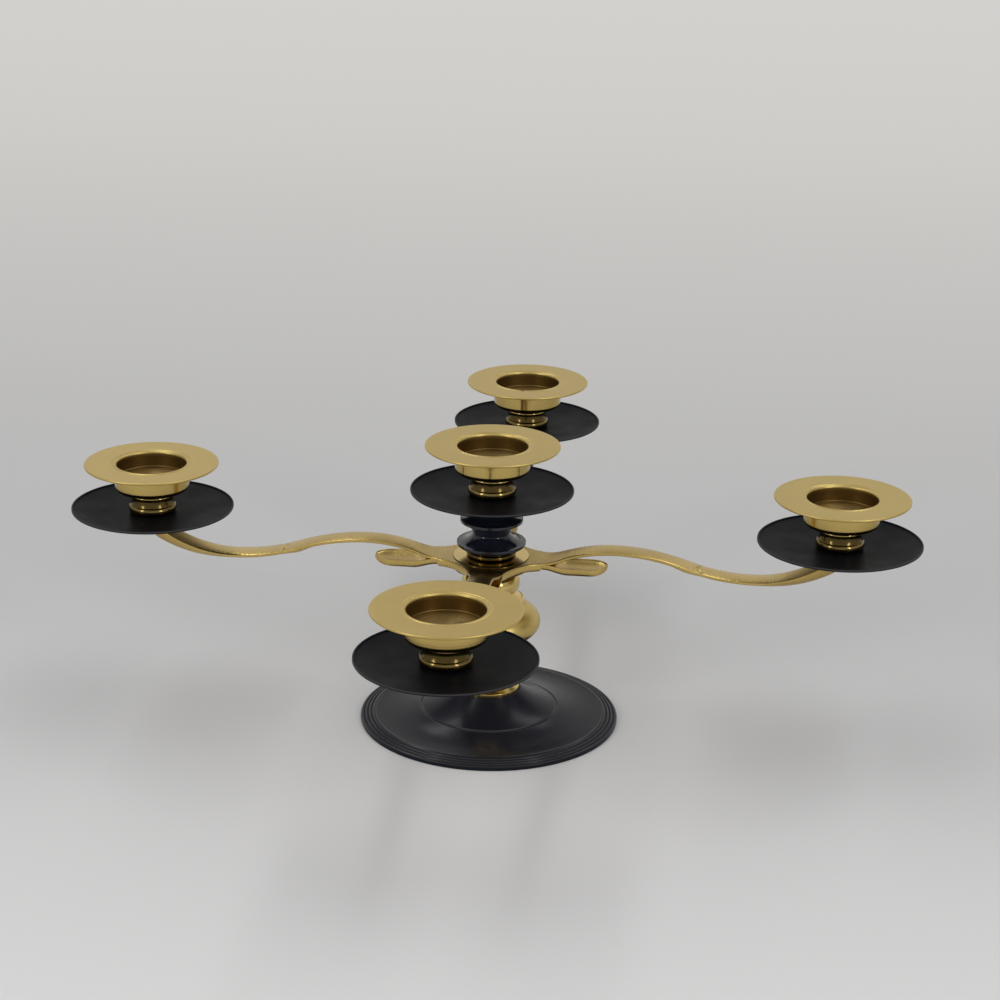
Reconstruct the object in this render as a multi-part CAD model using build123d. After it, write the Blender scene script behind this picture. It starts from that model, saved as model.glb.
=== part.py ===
"""Five-light tabletop candelabra: four cast branch arms and a taller centre light on a turned column.

Millimetres, +Z up. The origin is the middle of the base's underside, and the arms lie along X and Y.
"""
from build123d import *
import os
from math import atan, cos, pi, sin, sqrt

# Candle cups
candle_bore_radius = 20.0
candle_bore_depth = 9.0
cup_floor = 5.0
cup_wall = 1.4
flange_radius = 38.5
flange_thickness = 2.2
flange_edge_round = 0.8
lip_round = 1.2
bowl_round = 2.0

# Turned stems that carry the cups
stem_height = 15.2
stem_foot_radius = 13.9
stem_foot_height = 4.6
stem_neck_radius = 10.8
stem_bead_radius = 12.6
stem_bead_height = 3.0
stem_bore_depth = 9.0
spigot_radius = 6.0
spigot_height = 2.4

# Drip pans
pan_radius = 46.6
pan_depth = 3.5
pan_wall = 1.2
pan_floor_radius = 17.0
pan_lip_height = 0.7
pan_edge = 1.2

# Base dish
base_radius = 75.0
base_height = 19.0
base_wall = 2.6
base_rim_height = 2.2
base_rim_width = 3.4
base_band_width = 8.4
base_band_rise = 2.2
base_slope_sag = 4.4
base_seat_radius = 18.4
rim_groove_count = 3
rim_groove_width = 1.0
rim_groove_depth = 0.6
slope_groove_share = 0.53
slope_groove_radius = 0.6

# Column on the base
foot_height = 31.0
foot_flange_radius = 17.4
foot_flange_thickness = 1.8
foot_neck_radius = 9.0
knop_height = 22.0
knop_radius = 29.0
knop_collar_radius = 12.0
cap_height = 22.0
cap_ring_radius = 19.8
cap_ring_height = 4.0
cap_groove_radius = 13.5
cap_boss_radius = 16.8
cap_boss_height = 11.0
cap_seat_radius = 14.5

# Hub, collar and black spool above it
hub_radius = 22.0
hub_height = 7.0
hub_edge_round = 0.6
star_reach = 30.0
star_flank = 9.0
star_hollow_radius = 29.6
star_thickness = 4.0
star_under_round = 2.0
collar_height = 3.0
collar_radius = 14.3
spool_height = 32.0
spool_seat_radius = 10.5
spool_lower_radius = 19.8
spool_lower_level = 3.6
spool_waist_radius = 10.6
spool_waist_level = 10.4
spool_upper_radius = 18.0
spool_upper_level = 17.4
spool_neck_radius = 11.0
spool_neck_level = 25.0
spool_cap_radius = 15.0
spool_edge = 1.6
spool_flare = 1.0

# Branch arms, with rises measured from the hub's flat top
arm_reach = 197.5
arm_seat_rise = 14.5
arm_width = 14.0
arm_root_length = 18.0
arm_edge = 1.5
arm_crown = 0.5
arm_belly = 1.4
arm_root_belly = 2.4
arm_end_belly = 6.5
valley_rise = -0.4
valley_bend = 10.0
crest_reach = 71.0
crest_rise = 7.1
crest_bend = 40.0
low_setback = 47.5
low_rise = -6.3
knuckle_setback = 38.0
knuckle_length = 22.0
knuckle_swell = 1.3
post_radius = 7.6
post_height = 9.0
post_round = 4.0
arm_stations = 32

# Leaf under each arm
leaf_length = 37.0
leaf_width = 18.6
leaf_root_drop = 1.6
leaf_drop = 3.5
leaf_hollow = 2.0
leaf_root_hollow = 0.2
leaf_thickness = 2.6
leaf_root_width = 17.6
leaf_open_share = 0.4
leaf_tip_share = 0.72
leaf_tip_length = 0.29
leaf_stations = (0, 0.14, 0.28, 0.42, 0.57, 0.72, 0.81, 0.89, 0.95, 1)

# Rod, studs and fastenings
rod_radius = 4.0
rod_end_level = 5.0
stud_radius = 3.0
stud_socket_depth = 6.5
washer_radius = 11.0
washer_thickness = 1.6
nut_flats = 13.0
nut_height = 6.5
tenon_width = 8.0
tenon_thickness = 2.0
tenon_depth = 2.3
tenon_length = 6.0
tenon_overlap = 4.0

# Clearances
running_clearance = 0.08
turning_gap = 0.3
hole_clearance = 0.2
seat_clearance = 0.05
thread_end_gap = 0.5

# Sizes and levels that follow from the stack of pieces
cup_height = candle_bore_depth + cup_floor
cup_radius = candle_bore_radius + cup_wall
knop_level = base_height + foot_height
cap_level = knop_level + knop_height
hub_level = cap_level + cap_height + turning_gap
pad_level = hub_level + hub_height
collar_level = pad_level + turning_gap
spool_level = collar_level + collar_height
centre_pan_level = spool_level + spool_height
arm_pan_level = pad_level + arm_seat_rise
rod_bore = rod_radius + hole_clearance
stud_reach = pan_wall + turning_gap + stem_bore_depth - thread_end_gap
low_reach = arm_reach - low_setback
knuckle_reach = low_reach - knuckle_setback
star_centre = star_flank + star_hollow_radius
star_end_half = star_centre - sqrt(star_hollow_radius ** 2 - (star_centre - star_reach) ** 2)
star_top = pad_level + valley_rise

ARM_ANGLES = {"right": 0, "back": 90, "left": 180, "front": 270}


def turned(edges):
    """Solid of revolution about Z from a closed outline drawn as radius and height."""
    return revolve(Plane.XZ * make_face(Curve() + edges), Axis.Z)


def turned_polygon(points, rounds=()):
    """Solid of revolution from a polygon whose listed corners are rounded."""
    outline = make_face(Polyline(*points, close=True))
    for corner, radius in rounds:
        outline = fillet(outline.vertices().sort_by_distance(corner)[0], radius)
    return revolve(Plane.XZ * outline, Axis.Z)


def drill(radius, low, high):
    """Round cutter or disc on the Z axis between two levels."""
    return Pos(0, 0, low) * Cylinder(radius, high - low, align=(Align.CENTER, Align.CENTER, Align.MIN))


def bulge(side, radius, low, high):
    """Half-ellipse moulding from low to high that swells from the side radius to the full radius."""
    middle = (side, (low + high) / 2)
    return EllipticalCenterArc(middle, radius - side, (high - low) / 2, -90, arc_size=180)


def make_base():
    band_inner = base_radius - base_band_width
    band_top = base_rim_height + base_band_rise
    pitch = base_band_width / (rim_groove_count + 1)
    band = [(base_radius, 0), (base_radius, base_rim_height)]
    for step in range(1, rim_groove_count + 1):
        radius = base_radius - step * pitch
        level = base_rim_height + base_band_rise * step / (rim_groove_count + 1)
        band.append((radius + rim_groove_width / 2, level))
        band.append((radius, level - rim_groove_depth))
        band.append((radius - rim_groove_width / 2, level))
    band.append((band_inner, band_top))
    under_seat = (base_seat_radius, base_height - base_wall)
    under_band = (band_inner, band_top - base_wall)
    slope = SagittaArc((band_inner, band_top), (base_seat_radius, base_height), base_slope_sag)
    seat = (base_seat_radius, base_height)
    crown = Polyline(seat, (rod_bore, base_height), (rod_bore, under_seat[1]), under_seat)
    hollow = SagittaArc(under_seat, under_band, -base_slope_sag)
    skirt = Polyline(under_band, (base_radius - base_rim_width, 0), (base_radius, 0))
    dish = turned([Polyline(*band), slope, crown, hollow, skirt])
    groove = slope @ slope_groove_share
    return dish - Pos(0, 0, groove.Y) * Torus(groove.X, slope_groove_radius)


def make_column_foot():
    low, top = base_height, knop_level
    edge = low + foot_flange_thickness
    waist = (foot_neck_radius, (low + top) / 2)
    return turned([
        Polyline((rod_bore, low), (foot_flange_radius, low), (foot_flange_radius, edge)),
        TangentArc(waist, (foot_flange_radius, edge), tangent=(0, -1)),
        TangentArc(waist, (knop_collar_radius, top), tangent=(0, 1)),
        Polyline((knop_collar_radius, top), (rod_bore, top), (rod_bore, low)),
    ])


def make_column_knop():
    low, top = knop_level, cap_level
    return turned([
        Line((rod_bore, low), (knop_collar_radius, low)),
        bulge(knop_collar_radius, knop_radius, low, top),
        Polyline((knop_collar_radius, top), (rod_bore, top), (rod_bore, low)),
    ])


def make_column_cap():
    low, top = cap_level, cap_level + cap_height
    ring_top = low + cap_ring_height
    ring_side = cap_ring_radius - cap_ring_height / 2
    margin = (cap_height - cap_ring_height - cap_boss_height) / 2
    boss_low, boss_top = ring_top + margin, top - margin
    return turned([
        Line((rod_bore, low), (ring_side, low)),
        bulge(ring_side, cap_ring_radius, low, ring_top),
        Line((ring_side, ring_top), (cap_groove_radius, boss_low)),
        bulge(cap_groove_radius, cap_boss_radius, boss_low, boss_top),
        Polyline((cap_groove_radius, boss_top), (cap_seat_radius, top), (rod_bore, top), (rod_bore, low)),
    ])


def tenon(gap):
    """Square tongue at the root of an arm along +X, grown by a gap where the hub is cut for it."""
    length = tenon_length + tenon_overlap
    bar = Box(length + gap, tenon_width + 2 * gap, tenon_thickness + 2 * gap)
    return Pos(star_reach - tenon_length + (length - gap) / 2, 0, pad_level - tenon_depth) * bar


def hub_star():
    """Cast star between the arms: a slab with four hollow sides, rounded underneath."""
    outline = Rectangle(2 * star_reach, 2 * star_reach)
    for side_x in (-1, 1):
        for side_y in (-1, 1):
            outline -= Pos(side_x * star_centre, side_y * star_centre) * Circle(star_hollow_radius)
    slab = Pos(0, 0, star_top - star_thickness) * extrude(outline, star_thickness)
    hollows = slab.edges().filter_by(GeomType.CIRCLE).group_by(Axis.Z)[0]
    return fillet(hollows, star_under_round)


def make_hub():
    """Round pad in the middle of the cast star, pocketed for the arms' tongues and bored for the rod."""
    disc = drill(hub_radius, hub_level, pad_level)
    disc = fillet(disc.edges().filter_by(GeomType.CIRCLE), hub_edge_round)
    hub = disc + hub_star() - drill(rod_radius + running_clearance, hub_level, pad_level)
    for angle in ARM_ANGLES.values():
        hub -= Rot(0, 0, angle) * tenon(seat_clearance)
    return hub


def make_collar():
    low, top = collar_level, spool_level
    side = collar_radius - collar_height / 2
    return turned([
        Line((rod_bore, low), (side, low)),
        bulge(side, collar_radius, low, top),
        Polyline((side, top), (rod_bore, top), (rod_bore, low)),
    ])


def make_spool():
    low, top = spool_level, centre_pan_level
    lower, upper = low + spool_lower_level, low + spool_upper_level
    waist = (spool_waist_radius, low + spool_waist_level)
    neck = (spool_neck_radius, low + spool_neck_level)
    return turned([
        Line((rod_bore, low), (spool_seat_radius, low)),
        TangentArc((spool_seat_radius, low), (spool_lower_radius, lower), tangent=(1, 0)),
        Line((spool_lower_radius, lower), (spool_lower_radius, lower + spool_edge)),
        SagittaArc((spool_lower_radius, lower + spool_edge), waist, spool_flare),
        SagittaArc(waist, (spool_upper_radius, upper), spool_flare),
        Line((spool_upper_radius, upper), (spool_upper_radius, upper + spool_edge)),
        SagittaArc((spool_upper_radius, upper + spool_edge), neck, spool_flare),
        SagittaArc(neck, (spool_cap_radius, top), spool_flare),
        Polyline((spool_cap_radius, top), (rod_bore, top), (rod_bore, low)),
    ])


def make_pan(pin_radius):
    """Shallow drip pan with a turned-up lip, its underside at level 0."""
    hole = pin_radius + hole_clearance
    rim = pan_depth + pan_wall
    inner = pan_radius - pan_wall
    return turned([
        Line((hole, 0), (pan_floor_radius, 0)),
        TangentArc((pan_floor_radius, 0), (pan_radius, rim - pan_edge), tangent=(1, 0)),
        Line((pan_radius, rim - pan_edge), (pan_radius, rim)),
        Polyline((pan_radius, rim), (inner, rim), (inner, rim - pan_lip_height)),
        TangentArc((pan_floor_radius, pan_wall), (inner, rim - pan_lip_height), tangent=(1, 0)),
        Polyline((pan_floor_radius, pan_wall), (hole, pan_wall), (hole, 0)),
    ])


def make_stem(pin_radius):
    """Turned stem with a rounded foot, hollow neck and bead, bored from below for its threaded pin."""
    bore = pin_radius + running_clearance
    foot_side = stem_foot_radius - stem_foot_height / 2
    bead_side = stem_bead_radius - stem_bead_height / 2
    bead_low = stem_height - stem_bead_height
    neck_level = (stem_foot_height + bead_low) / 2
    top = stem_height + spigot_height
    return turned([
        Line((bore, 0), (foot_side, 0)),
        bulge(foot_side, stem_foot_radius, 0, stem_foot_height),
        ThreePointArc((foot_side, stem_foot_height), (stem_neck_radius, neck_level), (bead_side, bead_low)),
        bulge(bead_side, stem_bead_radius, bead_low, stem_height),
        Polyline((bead_side, stem_height), (spigot_radius, stem_height), (spigot_radius, top), (0, top),
                 (0, stem_bore_depth), (bore, stem_bore_depth), (bore, 0)),
    ])


def make_cup():
    """Bowl with a wide flat flange and a blind candle bore, its underside at level 0."""
    socket = spigot_radius + seat_clearance
    socket_depth = spigot_height + seat_clearance
    flange_low = cup_height - flange_thickness
    bowl_edge = (cup_radius, 0)
    lip = (candle_bore_radius, cup_height)
    rim_low, rim_top = (flange_radius, flange_low), (flange_radius, cup_height)
    points = [
        (0, socket_depth), (socket, socket_depth), (socket, 0), bowl_edge, (cup_radius, flange_low),
        rim_low, rim_top, lip, (candle_bore_radius, cup_floor), (0, cup_floor),
    ]
    rounds = [
        (bowl_edge, bowl_round), (lip, lip_round),
        (rim_low, flange_edge_round), (rim_top, flange_edge_round),
    ]
    return turned_polygon(points, rounds)


def level_bend(start, end, bend):
    """Two arcs that leave start level and reach end level, meeting at one slope past the bend."""
    steepness = (end[1] - start[1]) / (end[0] - start[0])
    meet = (start[0] + bend, start[1] + bend * steepness)
    slope = 2 * atan(steepness)
    return [TangentArc(start, meet, tangent=(1, 0)), TangentArc(meet, end, tangent=(cos(slope), sin(slope)))]


def arm_top_line():
    """Top of an arm from star to pan as tangent arcs: valley, crest, long fall, low point and upturn."""
    valley = (star_reach, valley_rise)
    crest = (crest_reach, crest_rise)
    low = (low_reach, low_rise)
    end = (arm_reach, arm_seat_rise - post_round / 2)
    arcs = level_bend(valley, crest, valley_bend) + level_bend(crest, low, crest_bend)
    return arcs + [TangentArc(low, end, tangent=(1, 0))]


def at_reach(arcs, reach):
    """Point and direction of the top line at a distance from the column, found by halving."""
    arc = next((arc for arc in arcs if reach <= (arc @ 1).X), arcs[-1])
    low, high = 0.0, 1.0
    for _ in range(40):
        middle = (low + high) / 2
        if (arc @ middle).X < reach:
            low = middle
        else:
            high = middle
    return arc @ high, arc % high


def blend(value, start, end, first, last):
    """Straight blend of a size between two places along the arm."""
    share = min(max((value - start) / (end - start), 0.0), 1.0)
    return first + share * (last - first)


def arm_section(arcs, reach):
    """Strap section square to the top line: slightly crowned top, thin edges and a rounded belly."""
    offset = min(abs(reach - knuckle_reach) * 2 / knuckle_length, 1.0)
    swell = knuckle_swell * (1 + cos(pi * offset)) / 2
    flare = blend(reach, star_reach, star_reach + arm_root_length, 1, 0) ** 2
    half = arm_width / 2 + flare * (star_end_half - arm_width / 2) + swell / 2
    belly = arm_belly + flare * (arm_root_belly - arm_belly) + swell
    belly += blend(reach, low_reach, arm_reach - post_radius, 0, arm_end_belly - arm_belly)
    point, direction = at_reach(arcs, reach)
    plane = Plane((point.X, 0, pad_level + point.Y), x_dir=(0, 1, 0), z_dir=(direction.X, 0, direction.Y))
    outline = make_face(Curve() + [
        ThreePointArc((-half, 0), (0, arm_crown), (half, 0)),
        Line((half, 0), (half, -arm_edge)),
        ThreePointArc((half, -arm_edge), (0, -arm_edge - belly), (-half, -arm_edge)),
        Line((-half, -arm_edge), (-half, 0)),
    ])
    return plane * outline


def arm_strap():
    """Branch strap lofted through evenly spaced sections."""
    arcs = arm_top_line()
    first, last = (arcs[0] @ 0).X, (arcs[-1] @ 1).X
    step = (last - first) / (arm_stations - 1)
    return loft([arm_section(arcs, first + index * step) for index in range(arm_stations)])


def leaf_section(share):
    """Crescent section of the leaf: hollow above, round below, opening from its root to a round tip."""
    tip = max(share - leaf_tip_share, 0) / leaf_tip_length
    swell = sqrt(1 - tip ** 2)
    opening = (1 - cos(pi * blend(share, 0, leaf_open_share, 0, 1))) / 2
    half = swell * blend(opening, 0, 1, leaf_root_width, leaf_width) / 2
    edge = pad_level - blend(opening, 0, 1, leaf_root_drop, leaf_drop)
    hollow = swell * blend(opening, 0, 1, leaf_root_hollow, leaf_hollow)
    reach = star_reach + share * leaf_length
    plane = Plane((reach, 0, edge), x_dir=(0, 1, 0), z_dir=(1, 0, 0))
    outline = make_face(Curve() + [
        ThreePointArc((-half, 0), (0, -hollow), (half, 0)),
        ThreePointArc((half, 0), (0, -hollow - leaf_thickness * swell), (-half, 0)),
    ])
    return plane * outline


def make_arm():
    """Cast arm along +X with its leaf, root tongue and the post that carries a pan."""
    leaf = loft([leaf_section(share) for share in leaf_stations])
    branch = arm_strap() + leaf
    low = arm_pan_level - post_height
    corner = (post_radius, low)
    post = turned_polygon([(0, low), corner, (post_radius, arm_pan_level), (0, arm_pan_level)],
                          [(corner, post_round)])
    branch = branch + Pos(arm_reach, 0, 0) * post + tenon(0)
    socket = drill(stud_radius + seat_clearance, arm_pan_level - stud_socket_depth, 2 * arm_pan_level)
    return branch - Pos(arm_reach, 0, 0) * socket


def make_tie_rod():
    top = centre_pan_level + stud_reach
    return drill(rod_radius, rod_end_level, top)


def make_stud():
    return drill(stud_radius, arm_pan_level - stud_socket_depth, arm_pan_level + stud_reach)


def make_washer():
    top = base_height - base_wall
    return drill(washer_radius, top - washer_thickness, top) - drill(rod_bore, 0, top)


def make_nut():
    top = base_height - base_wall - washer_thickness
    blank = extrude(RegularPolygon(nut_flats / 2, 6, major_radius=False), nut_height)
    return Pos(0, 0, top - nut_height) * blank - drill(rod_radius + seat_clearance, 0, top)


def make_parts():
    """Every piece by its node name, in its place."""
    parts = {
        "base": make_base(),
        "base_washer": make_washer(),
        "base_nut": make_nut(),
        "tie_rod": make_tie_rod(),
        "column_foot": make_column_foot(),
        "column_knop": make_column_knop(),
        "column_cap": make_column_cap(),
        "hub": make_hub(),
        "collar": make_collar(),
        "spool": make_spool(),
    }
    arm, stud, cup = make_arm(), make_stud(), make_cup()
    arm_pan, arm_stem = make_pan(stud_radius), make_stem(stud_radius)
    stem_rise = pan_wall + turning_gap
    cup_rise = stem_rise + stem_height
    for side, angle in ARM_ANGLES.items():
        turn = Rot(0, 0, angle)
        seat = turn * Pos(arm_reach, 0, arm_pan_level)
        parts[f"arm_{side}"] = turn * arm
        parts[f"stud_{side}"] = turn * Pos(arm_reach, 0, 0) * stud
        parts[f"pan_{side}"] = seat * arm_pan
        parts[f"stem_{side}"] = seat * Pos(0, 0, stem_rise) * arm_stem
        parts[f"cup_{side}"] = seat * Pos(0, 0, cup_rise) * cup
    seat = Pos(0, 0, centre_pan_level)
    parts["pan_centre"] = seat * make_pan(rod_radius)
    parts["stem_centre"] = seat * Pos(0, 0, stem_rise) * make_stem(rod_radius)
    parts["cup_centre"] = seat * Pos(0, 0, cup_rise) * cup
    return parts


if __name__ == "__main__":
    os.makedirs("parts", exist_ok=True)
    for node, shape in make_parts().items():
        export_step(shape, f"parts/{node}.step")
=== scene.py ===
"""Dresses the five-light candelabra: turned brass lights, cast branch arms, black pans, spool and base."""
import logging
from dataclasses import dataclass, field
from enum import Enum
from math import atan, cos, pi, radians, sin

import bpy
import numpy as np
from mathutils import Matrix, Vector


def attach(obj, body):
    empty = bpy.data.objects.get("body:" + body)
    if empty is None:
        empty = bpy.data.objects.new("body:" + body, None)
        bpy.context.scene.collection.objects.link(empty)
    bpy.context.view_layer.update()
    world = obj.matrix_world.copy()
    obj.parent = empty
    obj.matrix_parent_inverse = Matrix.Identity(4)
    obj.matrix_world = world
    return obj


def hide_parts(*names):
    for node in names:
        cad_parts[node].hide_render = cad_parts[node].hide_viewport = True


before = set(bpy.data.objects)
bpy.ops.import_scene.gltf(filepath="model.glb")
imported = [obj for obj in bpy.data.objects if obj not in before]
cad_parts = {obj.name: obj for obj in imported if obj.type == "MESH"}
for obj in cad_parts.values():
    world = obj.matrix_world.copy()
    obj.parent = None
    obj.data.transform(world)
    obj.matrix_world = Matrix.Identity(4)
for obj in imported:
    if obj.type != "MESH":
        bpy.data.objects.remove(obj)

Pair = tuple[float, float]
Triple = tuple[float, float, float]
Node, Socket, Tree = bpy.types.Node, bpy.types.NodeSocket, bpy.types.NodeTree
Material, Piece = bpy.types.Material, bpy.types.Object
Grid = np.ndarray
Feeds = dict["str | int", "Socket | float | tuple[float, ...]"]

LOG = logging.getLogger("candelabra")
MM = 0.001
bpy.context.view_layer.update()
SIDES = {"right": 0.0, "back": 90.0, "left": 180.0, "front": 270.0}
STAINED_SIDE = "back"
HIDDEN_NODES = ("tie_rod", "base_washer", "base_nut")
FLOAT, VECTOR = "NodeSocketFloat", "NodeSocketVector"
AXIS_FOOT: Triple = (0.0, 0.0, 0.0)


class Sheen(Enum):
    """How a metal or paint surface was finished: lowest roughness, its spread and the depth of tool marks."""

    BRUSHED = (0.30, 0.12, 0.18)
    POLISHED = (0.09, 0.10, 0.10)
    CAST = (0.22, 0.16, 0.18)
    PLAIN = (0.30, 0.20, 0.20)
    MATT = (0.42, 0.12, 0.06)
    SATIN = (0.19, 0.08, 0.05)
    GLOSS = (0.08, 0.07, 0.04)


@dataclass(frozen=True)
class NodeDesk:
    """Node tree with short calls for the nodes that recur."""

    tree: Tree

    def feed(self, node: Node, values: Feeds) -> None:
        """Fills a node's inputs.

        Args:
            node: the node.
            values: input name or number to the socket that is linked to it, or to its constant.
        """
        for label, value in values.items():
            if isinstance(value, Socket):
                self.tree.links.new(value, node.inputs[label])
            else:
                node.inputs[label].default_value = value

    def add(self, kind: str, values: "Feeds | None" = None, **settings: object) -> Node:
        """Adds a shader node.

        Args:
            kind: Blender's name of its type, without the leading ShaderNode.
            values: what its inputs get, as for feed.
            settings: properties to set on it first.

        Returns:
            The node.
        """
        node = self.tree.nodes.new(f"ShaderNode{kind}")
        for label, value in settings.items():
            setattr(node, label, value)
        self.feed(node, values or {})
        return node

    def attribute(self, name: str) -> Socket:
        """Reads one of the piece's own attributes as a value."""
        return self.add("Attribute", attribute_name=name).outputs["Fac"]

    def math(self, operation: str, first: Socket, second: "Socket | float", clamp: bool = False) -> Socket:
        """Joins a socket with another, or with a number, by a math operation."""
        return self.add("Math", {0: first, 1: second}, operation=operation, use_clamp=clamp).outputs[0]

    def span(self, value: Socket, start: Pair, end: Pair = (0.0, 1.0), kind: str = "LINEAR") -> Socket:
        """Maps a value from one range to another and holds it at the ends."""
        ends = dict(zip(("From Min", "From Max", "To Min", "To Max"), (*start, *end)))
        return self.add("MapRange", {"Value": value, **ends}, interpolation_type=kind).outputs["Result"]

    def mix(self, factor: Socket, first: Triple, second: Triple) -> Socket:
        """Mixes two colours, the first of them at a factor of 0."""
        ends = {"A": (*first, 1), "B": (*second, 1)}
        return self.add("Mix", {"Factor": factor, **ends}, data_type="RGBA").outputs["Result"]

    def bump(self, height: Socket, strength: float, depth: float) -> Socket:
        """Bends the normal by a height, whose unit is the depth in metres."""
        return self.add("Bump", {"Height": height, "Strength": strength, "Distance": depth}).outputs["Normal"]


def blank_material(name: str) -> tuple[Material, NodeDesk, Node]:
    """Makes a material with nodes.

    Args:
        name: its name.

    Returns:
        The material, its desk and its main shader.
    """
    material = bpy.data.materials.new(name)
    material.use_nodes = True
    return material, NodeDesk(material.node_tree), material.node_tree.nodes["Principled BSDF"]


class NodeBook:
    """Shader node groups that several finishes share, each built once."""

    def __init__(self) -> None:
        """Builds the groups for turning marks, tarnish and dust."""
        self.turning = self._turning_marks()
        self.tarnish = self._tarnish()
        self.dust = self._dust()

    @staticmethod
    def _start(name: str, inputs: "dict[str, float | None]",
               outputs: tuple[str, ...]) -> tuple[NodeDesk, Node, Node]:
        """Makes an empty group with its sockets.

        Args:
            name: name of the group.
            inputs: socket name to its default, or None for a vector.
            outputs: names of the value sockets that it puts out.

        Returns:
            The group's desk, its input node and its output node.
        """
        group = bpy.data.node_groups.new(name, "ShaderNodeTree")
        for label, value in inputs.items():
            kind = VECTOR if value is None else FLOAT
            socket = group.interface.new_socket(label, in_out="INPUT", socket_type=kind)
            if value is not None:
                socket.default_value = value
        for label in outputs:
            group.interface.new_socket(label, in_out="OUTPUT", socket_type=FLOAT)
        return NodeDesk(group), group.nodes.new("NodeGroupInput"), group.nodes.new("NodeGroupOutput")

    def _turning_marks(self) -> Tree:
        """Fine lathe rings: one-dimensional noise along the profile, so each ring closes on itself.

        Returns:
            The group, from a run in mm to rings.
        """
        desk, inlet, outlet = self._start("turning_marks", {"Run": 0.0, "Per mm": 3.0}, ("Rings",))
        scaled = desk.math("MULTIPLY", inlet.outputs["Run"], inlet.outputs["Per mm"])
        rings = desk.add("TexNoise", {"W": scaled, "Scale": 1.0, "Detail": 3.0}, noise_dimensions="1D")
        desk.feed(outlet, {"Rings": rings.outputs["Fac"]})
        return desk.tree

    def _tarnish(self) -> Tree:
        """Cloudy tarnish: soft noise on the object's own place, narrowed to patches, and a fine grain.

        Returns:
            The group, from a place to patches and grain.
        """
        desk, inlet, outlet = self._start("tarnish", {"Place": None, "Size": 60.0}, ("Patch", "Grain"))
        place = inlet.outputs["Place"]
        cloud = desk.add("TexNoise", {"Vector": place, "Scale": inlet.outputs["Size"], "Detail": 5.0})
        grain = desk.add("TexNoise", {"Vector": place, "Scale": 1400.0})
        desk.feed(outlet, {"Patch": desk.span(cloud.outputs["Fac"], (0.35, 0.72)), "Grain": grain.outputs["Fac"]})
        return desk.tree

    def _dust(self) -> Tree:
        """Light dust: more where the surface faces up, broken by fine noise.

        Returns:
            The group, from a place to dust.
        """
        desk, inlet, outlet = self._start("dust", {"Place": None}, ("Dust",))
        axes = desk.add("SeparateXYZ", {0: desk.add("NewGeometry").outputs["Normal"]})
        speck = desk.add("TexNoise", {"Vector": inlet.outputs["Place"], "Scale": 220.0, "Detail": 6.0})
        desk.feed(outlet, {"Dust": desk.math("MULTIPLY", axes.outputs["Z"], speck.outputs["Fac"], clamp=True)})
        return desk.tree


@dataclass(frozen=True)
class MetalFinish:
    """Brass or steel with tarnish, turning marks, darker hollows, painted shade and rubbed places."""

    name: str
    sheen: Sheen
    color: Triple
    dark: Triple
    per_mm: float
    tarnish: float
    grain: float = 0.15
    rub: float = 0.65
    depth: float = 0.00012

    def build(self, book: NodeBook) -> Material:
        """Makes the material.

        Args:
            book: the shared node groups.

        Returns:
            A material on Object coordinates and the pieces' own run, soot and shine attributes.
        """
        material, desk, shader = blank_material(self.name)
        shader.inputs["Metallic"].default_value = 1.0
        least, spread, marks = self.sheen.value
        place = desk.add("TexCoord").outputs["Object"]
        tarnish = desk.add("Group", {"Place": place}, node_tree=book.tarnish)
        turning = desk.add("Group", {"Run": desk.attribute("run"), "Per mm": self.per_mm}, node_tree=book.turning)
        rings = turning.outputs["Rings"]
        clouds = desk.math("MULTIPLY", tarnish.outputs["Patch"], self.tarnish)
        # Darkening from tarnish patches and from the pieces' attribute, which holds patina in hollows and painted
        # shade.
        dirt_and_shade = desk.math("ADD", clouds, desk.attribute("soot"), clamp=True)
        rough = desk.span(desk.math("MAXIMUM", rings, dirt_and_shade), (0.0, 1.0), (least, least + spread))
        share = desk.math("ADD", desk.math("MULTIPLY", desk.attribute("shine"), -self.rub), 1.0)
        grain = desk.math("MULTIPLY", tarnish.outputs["Grain"], self.grain)
        desk.feed(shader, {"Base Color": desk.mix(dirt_and_shade, self.color, self.dark),
                           "Roughness": desk.math("MULTIPLY", rough, share),
                           "Normal": desk.bump(desk.math("ADD", rings, grain), marks, self.depth)})
        return material


@dataclass(frozen=True)
class PaintFinish:
    """Black paint with fine grain, light dust and painted highlights along edges."""

    name: str
    sheen: Sheen
    color: Triple
    dust: float
    shine: float
    # Pale grey that dust and painted highlights mix towards.
    tint: Triple = (0.32, 0.31, 0.3)
    depth: float = 0.0001

    def build(self, book: NodeBook) -> Material:
        """Makes the material.

        Args:
            book: the shared node groups.

        Returns:
            A material on Object coordinates and the pieces' own wear attribute.
        """
        material, desk, shader = blank_material(self.name)
        shader.inputs["Specular IOR Level"].default_value = self.shine
        least, spread, marks = self.sheen.value
        place = desk.add("TexCoord").outputs["Object"]
        tarnish = desk.add("Group", {"Place": place}, node_tree=book.tarnish)
        dust = desk.add("Group", {"Place": place}, node_tree=book.dust)
        settled = desk.math("MULTIPLY", dust.outputs["Dust"], self.dust)
        # Paleness: real dust, plus painted highlight lines from the pieces' attribute.
        pale = desk.math("ADD", settled, desk.attribute("wear"), clamp=True)
        desk.feed(shader, {"Base Color": desk.mix(pale, self.color, self.tint),
                           "Roughness": desk.span(tarnish.outputs["Patch"], (0.0, 1.0), (least, least + spread)),
                           "Normal": desk.bump(tarnish.outputs["Grain"], marks, self.depth)})
        return material


def joined(*runs: "Grid | list") -> Grid:
    """Puts runs of points or values into one array."""
    return np.concatenate(runs)


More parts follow.
